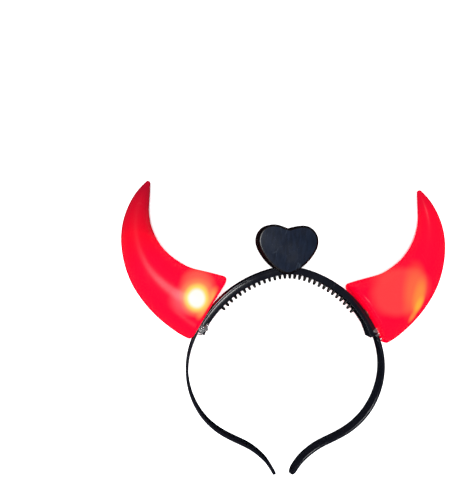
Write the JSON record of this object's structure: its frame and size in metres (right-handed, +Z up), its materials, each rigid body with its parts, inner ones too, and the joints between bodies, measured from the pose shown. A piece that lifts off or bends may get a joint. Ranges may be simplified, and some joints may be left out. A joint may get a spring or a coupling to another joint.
{
  "type": "light-up devil horns headband",
  "caption": "Hoop headband with hollow devil horns lit from inside, a heart-shaped battery box at the crown and a grip comb inside.",
  "frame": {"origin": "centre of the bounding box's underside, on the surface that the headband lies on", "axes": "+X from the left horn to the right one as seen from the front, +Y from the leg tips towards the crown, leaned 9.5 degrees down, +Z up through the hoop towards its front"},
  "size_m": [0.2124, 0.1858, 0.0379],
  "materials": {
    "band": "glossy black injection-moulded plastic",
    "comb": "black moulded plastic, satin",
    "battery_box": "glossy black moulded plastic",
    "battery_lid": "dark slate moulded plastic, slightly frosted",
    "horn": "translucent red blown plastic that glows from inside",
    "led": "clear water-white lamp resin"
  },
  "bodies": {
    "root": {"band": "band", "comb": "comb", "battery_box": "battery_box", "battery_lid": "battery_lid", "horn_left": "horn", "horn_right": "horn", "led_left": "led", "led_right": "led"}
  },
  "joints": []
}
